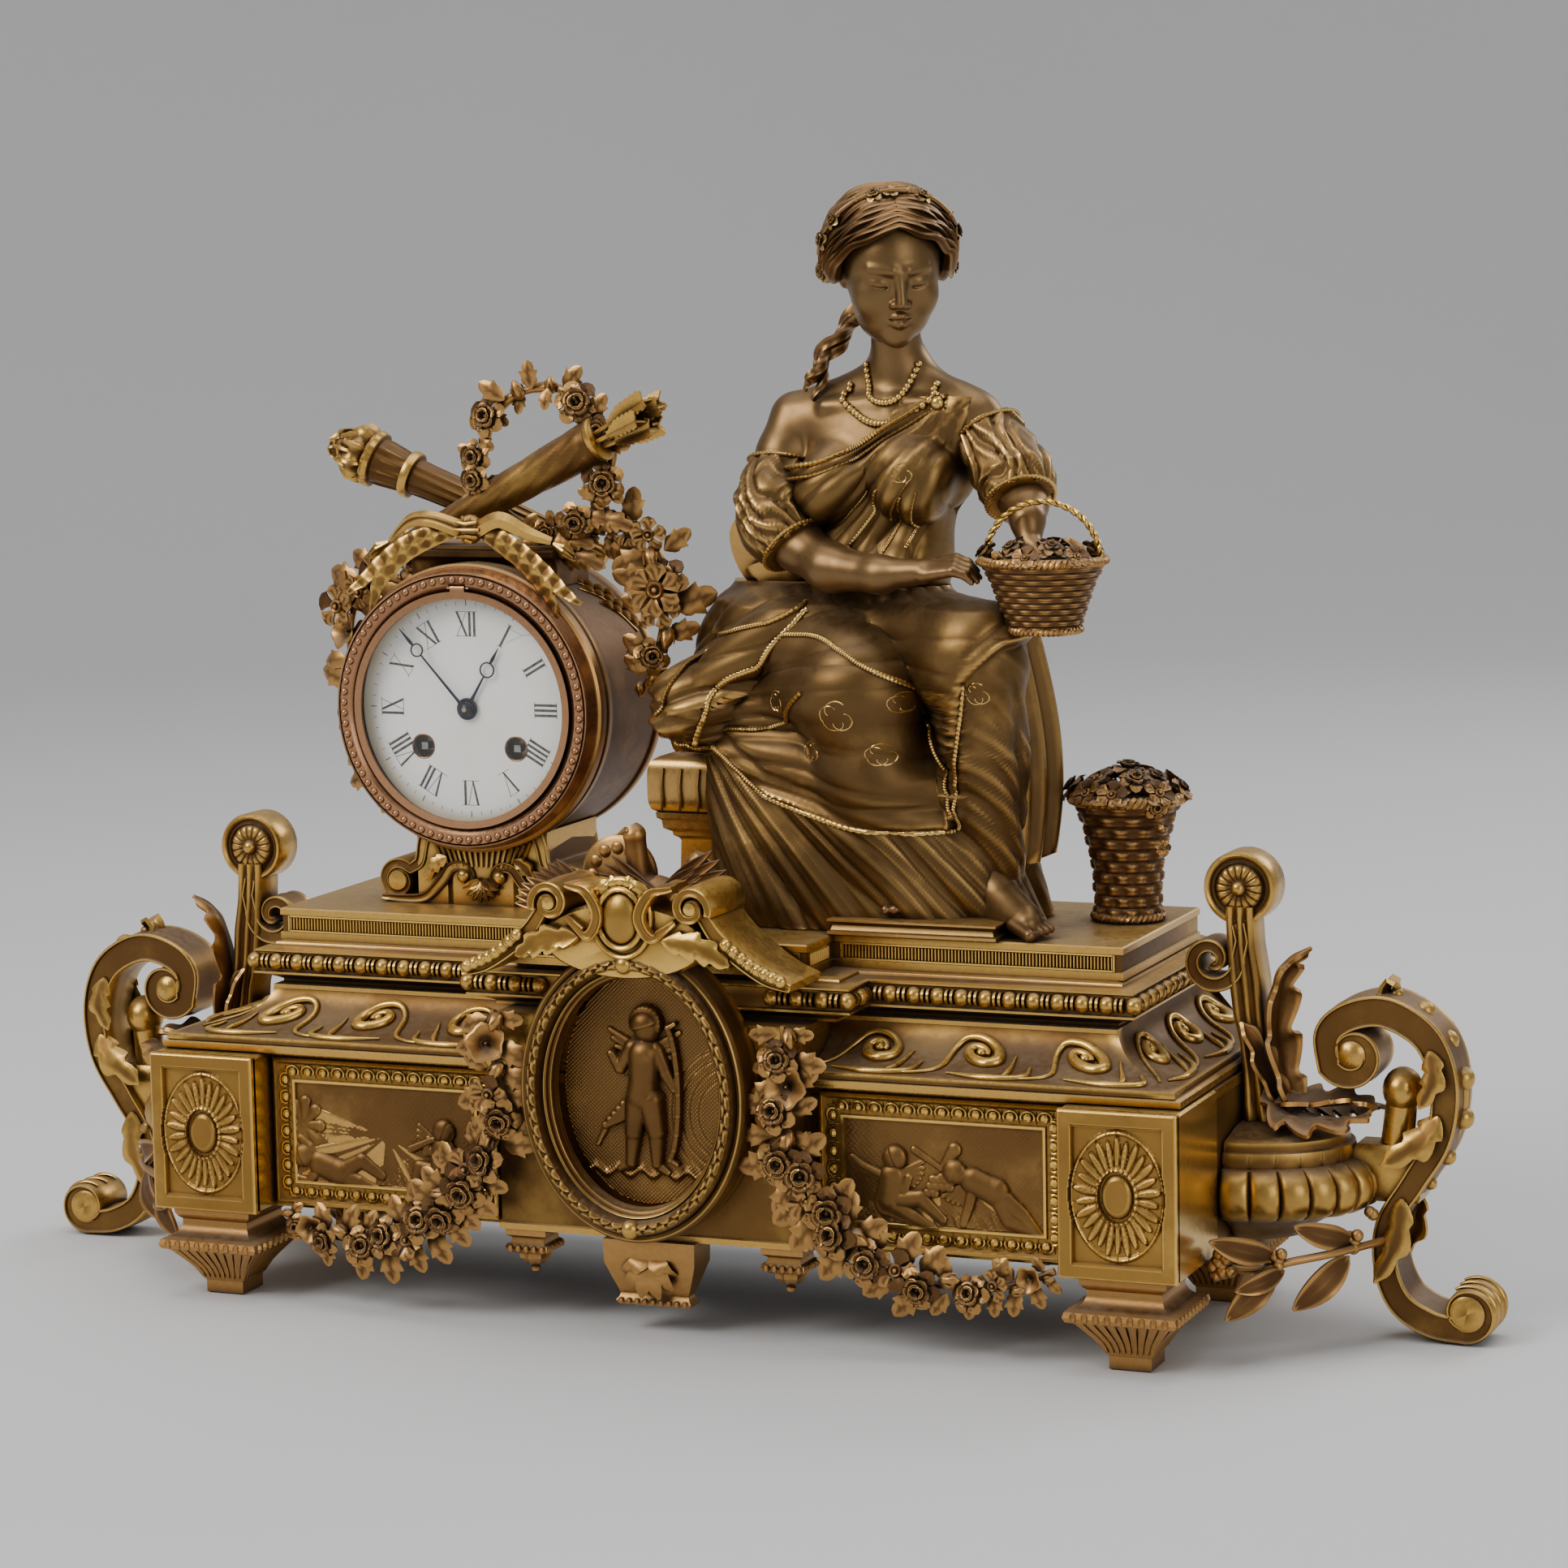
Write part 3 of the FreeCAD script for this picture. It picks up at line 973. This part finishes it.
def make_escapement():
    """Anchor on its arbor, pendulum rod and bob; returns the bridge that holds the arbor's back end."""
    y = inner_front + 22.2
    x, z = pallet_at
    swing_y = plates_back + 3.6
    arbor = rod("anchor_arbor", m.arbor_r, x, inner_front + 12, swing_y + 1.4, z)
    bar = box("anchor_bar", x - 7.5, x + 7.5, y, y + 0.8, z - 1.6, z + 1.6)
    nibs = [box(f"anchor_nib_{i}", x + side * 6.5 - 1, x + side * 6.5 + 1, y, y + 0.8, z - 4.4, z)
            for i, side in enumerate((-1, 1))]
    node("pallets", fuse("pallets", arbor, bar, *nibs))
    low = drum_z + (z - float(drum_z)) - m.pendulum_long
    hanger = rod("pendulum_hub", 2.6, x, swing_y - 1.2, swing_y + 1.2, z)
    bore = rod("pendulum_bore", m.arbor_r + m.run_gap, x, swing_y - 3, swing_y + 3, z)
    shaft = stud("pendulum_shaft", m.rod_r, x, swing_y, low, z + 0.5)
    bob = turned("bob", [(0, -3.2), (m.bob_r - 3, -2.4), (m.bob_r, 0), (m.bob_r - 3, 2.4), (0, 3.2)],
                 x, swing_y, low, along_y=True)
    node("pendulum", cut("pendulum", fuse("pendulum_parts", hanger, shaft, bob), bore))
    bridge = box("bridge_bar", x - 7, x + 7, plates_back + 5.4, plates_back + 6.6, z - 2, z + 5)
    posts = [rod(f"bridge_post_{i}", 1.1, x + side * 5.6, plates_back, plates_back + 6, z + 3.4)
             for i, side in enumerate((-1, 1))]
    hole = rod("bridge_hole", m.arbor_r + m.run_gap, x, plates_back + 5, plates_back + 7, z)
    return cut("anchor_bridge", fuse("bridge_parts", bridge, *posts), hole)


def make_bell():
    """Bell on its stud and the sprung hammer that strikes its rim."""
    radius, wall = m.bell_r, 1.4
    x, z = drum_x - 17, drum_z - 8
    y = plates_back + 8.5
    section = [(radius, 0), (radius * 0.92, 5), (radius * 0.62, 9.2), (0, 11), (0, 11 - wall),
               (radius * 0.58, 9.2 - wall), (radius * 0.92 - wall, 4.4), (radius - wall, 0)]
    cup = turned("bell_cup", section, x, y, z, along_y=True)
    stalk = rod("bell_stud", 1.8, x, plates_back, y + 10.4, z)
    node("bell", fuse("bell", cup, stalk))
    hx, hz = hammer_at
    head = egg("hammer_head", x + radius + 4.4, y + 3, z, 3, 3.4, 3)
    arm = made_shape("hammer_arm", strand([(hx, float(y) + 2, hz, 1.1),
                                           (float(x + radius) + 4.4, float(y) + 2.6, float(z), 1.0)], 8))
    arbor = rod("hammer_arbor", m.arbor_r, hx, inner_back - 3, y + 3.4, hz)
    hub = rod("hammer_hub", 2.4, hx, y + 0.4, y + 3.4, hz)
    node("bell_hammer", fuse("bell_hammer", head, arm, arbor, hub))


# ------------------------------------------------------------------------------------------- the figure
def make_figure():
    """Seated figure, cast hollow, on a stool, with one basket in the hand and one beside it."""
    base = float(deck)
    scale = float(m.figure_height) / 268.3

    def up(height):
        return base + height * scale

    gown_levels = [(up(0), 4, 128, -14, 60), (up(24), 0, 126, -14, 60), (up(54), -3, 131, -24, 60),
                   (up(64), -16, 136, -34, 60), (up(84), -16, 145, -38, 60), (up(101), 4, 144, -34, 58),
                   (up(110), 24, 112, -18, 50), (up(120), 38, 92, -2, 45), (up(132), 41, 86, 3, 42),
                   (up(150), 37, 93, -4, 44), (up(164), 34, 96, -3, 44), (up(178), 24, 105, 2, 40),
                   (up(186), 26, 102, 6, 38), (up(194), 52, 88, 10, 36), (up(200), 60, 82, 12, 34)]
    gown_blank = made_shape("gown_blank", stack(gown_levels, 20))
    wall = float(m.cast_wall) + 3
    hollow_levels = [(z - 1, x0 + wall, x1 - wall, y0 + wall, y1 - wall)
                     for z, x0, x1, y0, y1 in gown_levels[:-3]]
    gown = cut("figure_gown", gown_blank, made_shape("gown_hollow", stack(hollow_levels, 20)))
    node("figure_gown", gown)
    neck = made_shape("figure_neck", strand([(70, 22, up(196), 9.5), (70, 19, up(208), 9),
                                             (71, 14, up(222), 9)], 12))
    skull = egg("figure_skull", 72, 11, up(238.8), 23, 26, 29.5 * scale)
    head = node("figure_head", cut("figure_head", fuse("head_parts", neck, skull), gown_blank))

    basket_x, basket_y = 136, -15
    low, rim = up(108.5), up(133.5)
    bowl = turned("hand_basket_bowl", [(0, 0), (13, 0), (22.5, rim - low), (17, rim - low + 5),
                                       (0, rim - low + 7)], basket_x, basket_y, low)
    basket = node("hand_basket", cut("hand_basket", bowl, gown_blank))
    handle = doc.addObject("Part::Torus", "handle_ring")
    turn_to_y(handle)
    handle.Angle1, handle.Angle2, handle.Angle3 = -180, 180, 180
    handle.Placement = Placement(Vector(basket_x, basket_y, rim - 0.5), Rotation(Vector(1, 0, 0), 90))
    bind(handle, Radius1=21.3, Radius2=0.9)
    handle = node("basket_handle", cut("basket_handle", handle, basket))

    right_arm = strand([(30, 20, up(182), 9), (28, 14, up(168), 10), (30, 6, up(152), 9.5),
                        (38, 1, up(135), 9), (52, -7, up(129), 8), (78, -16, up(128), 6.5),
                        (96, -20, up(130), 5), (114, -21, up(130), 4)], 12)
    left_arm = strand([(100, 18, up(182), 9), (108, 16, up(170), 10), (116, 12, up(158), 9.5),
                       (123, 4, up(150), 8), (126, -5, up(147), 5.5), (128, -10, up(136), 4.5)], 12)
    foot = strand([(104, 10, up(20), 8), (116, 2, up(12), 7.5), (128, -7, up(7), 6.5),
                   (136, -13, up(5), 4.5)], 12)
    limbs = fuse("limb_parts", made_shape("right_arm", right_arm), made_shape("left_arm", left_arm),
                 made_shape("bare_foot", foot))
    node("figure_limbs", cut("figure_limbs", limbs, gown_blank, basket, handle, head))

    step = box("footrest_block", 56, 120, -24, 0, deck, deck + 6)
    node("footrest", cut("footrest", step, gown_blank, NODES["figure_limbs"]))

    top = deck + m.stool_height
    tiers = fuse("stool_tiers",
                 box("stool_base", -24, 90, 8, 66, deck, deck + 9),
                 box("stool_waist", -17, 84, 13, 62, deck + 9, top - 22),
                 box("stool_seat", -26, 92, 6, 67, top - 22, top))
    node("stool", cut("stool", tiers, gown_blank))

    section = [(0, 0), (12.5, 0), (12.5, 3), (11.5, 6), (13.5, 22), (19, m.basket_height - 2),
               (22.5, m.basket_height + 3), (16, m.basket_height + 10), (0, m.basket_height + 12)]
    standing = turned("flower_basket", section, 149, 37, deck)
    node("flower_basket", standing)


make_chest()
make_cornice(*make_cove())
make_platform()
make_end_blocks()
make_feet()
make_under_drops()
make_medallion()
make_doves(make_crest())
make_garlands()
make_ends()
make_trophy(*make_drum())
make_plates(make_escapement())
make_going_train()
make_winders()
make_motion_work()
make_bell()
make_figure()
doc.recompute()

failed = [obj.Name for obj in doc.Objects if set(obj.State) & {"Invalid", "Error"}]
failed += [name for name, obj in NODES.items() if obj.Shape.isNull() or not obj.Shape.isValid()]
if failed:
    raise RuntimeError("these did not build: " + ", ".join(failed))

os.makedirs(PARTS, exist_ok=True)
for name, obj in NODES.items():
    obj.Shape.exportStep(os.path.join(PARTS, name + ".step"))
print(len(NODES), "sub-parts written")
